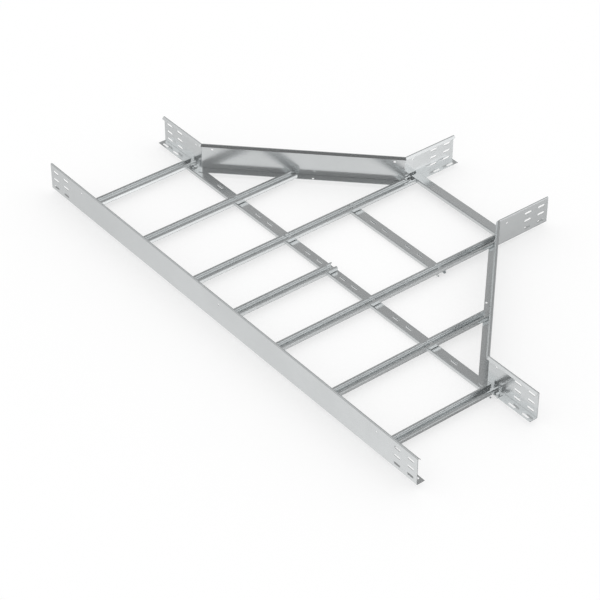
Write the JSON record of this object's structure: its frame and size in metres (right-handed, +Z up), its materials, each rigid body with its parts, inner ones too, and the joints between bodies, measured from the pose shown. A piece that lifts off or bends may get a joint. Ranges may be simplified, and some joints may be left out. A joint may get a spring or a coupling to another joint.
{
  "type": "horizontal cable ladder tee",
  "caption": "Horizontal tee for a cable ladder: folded side rails with angled corners, open channel rungs and runners bolted between them, splice slots at every end.",
  "frame": {"origin": "under the middle of the tee's outline, level with the lowest edges of the runners", "axes": "+X along the main run, +Y from the straight rail towards the branch, +Z up"},
  "size_m": [1.6, 1, 0.098],
  "materials": {
    "galvanised_sheet": "satin zinc-coated sheet",
    "plated_hardware": "bright zinc plated"
  },
  "bodies": {
    "root": {"straight_rail": "galvanised_sheet", "left_corner_rail": "galvanised_sheet", "right_corner_rail": "galvanised_sheet", "rung_1": "galvanised_sheet", "rung_2": "galvanised_sheet", "rung_3": "galvanised_sheet", "rung_4": "galvanised_sheet", "rung_5": "galvanised_sheet", "rung_6": "galvanised_sheet", "rung_7": "galvanised_sheet", "branch_rung": "galvanised_sheet", "long_runner": "galvanised_sheet", "short_runner": "galvanised_sheet", "left_clip": "galvanised_sheet", "right_clip": "galvanised_sheet", "rung_bolts": "plated_hardware", "clip_bolts": "plated_hardware", "branch_bolts": "plated_hardware", "nuts": "plated_hardware", "packers": "plated_hardware", "channel_nuts": "plated_hardware"}
  },
  "joints": []
}
